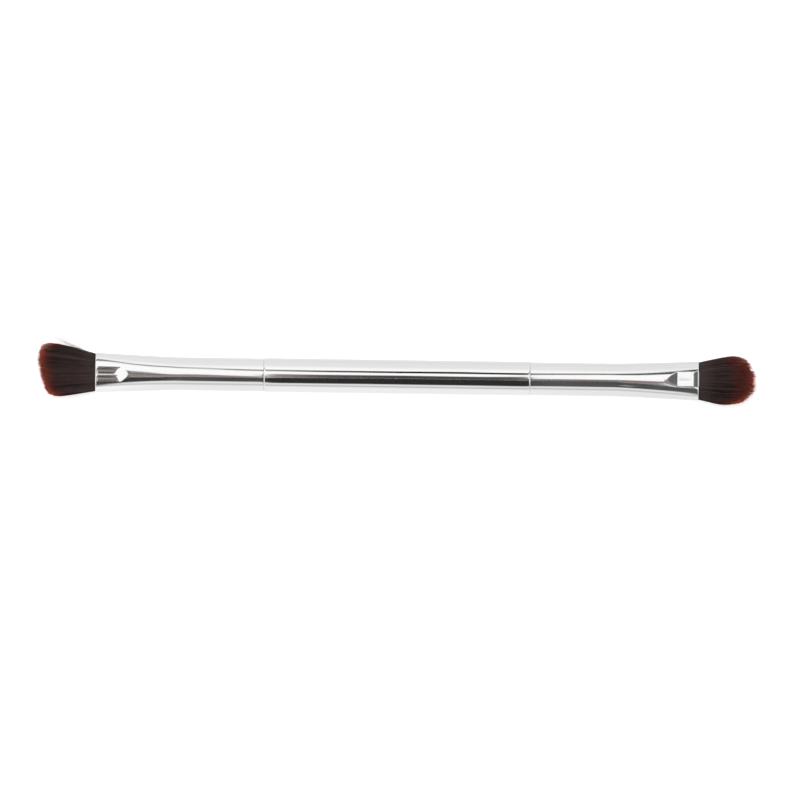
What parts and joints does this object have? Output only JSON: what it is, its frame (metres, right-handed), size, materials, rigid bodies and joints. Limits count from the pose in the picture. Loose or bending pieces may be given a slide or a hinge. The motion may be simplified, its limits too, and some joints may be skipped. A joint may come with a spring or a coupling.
{
  "type": "double ended makeup brush",
  "caption": "Slim metal-handled brush with a slanted fibre head at one end and a domed fibre head at the other, each held in a tube pressed flat at its mouth.",
  "frame": {"origin": "on the brush's axis at the middle of the handle sleeve", "axes": "+X along the brush towards the domed head, +Z out of a broad face of the heads, +Y across, towards the long side of the slanted head"},
  "size_m": [0.1729, 0.0129, 0.0082],
  "materials": {
    "bright_sleeve": "polished",
    "bright_ferrule": "polished",
    "core_plastic": "matte",
    "dark_fibre": "satin",
    "set_resin": "gloss",
    "binding_thread": "matte"
  },
  "bodies": {
    "root": {"handle_sleeve": "bright_sleeve", "handle_core": "core_plastic", "angled_ferrule": "bright_ferrule", "angled_tuft": "dark_fibre", "angled_glue_plug": "set_resin", "angled_binding_thread": "binding_thread", "domed_ferrule": "bright_ferrule", "domed_tuft": "dark_fibre", "domed_glue_plug": "set_resin", "domed_binding_thread": "binding_thread"}
  },
  "joints": []
}
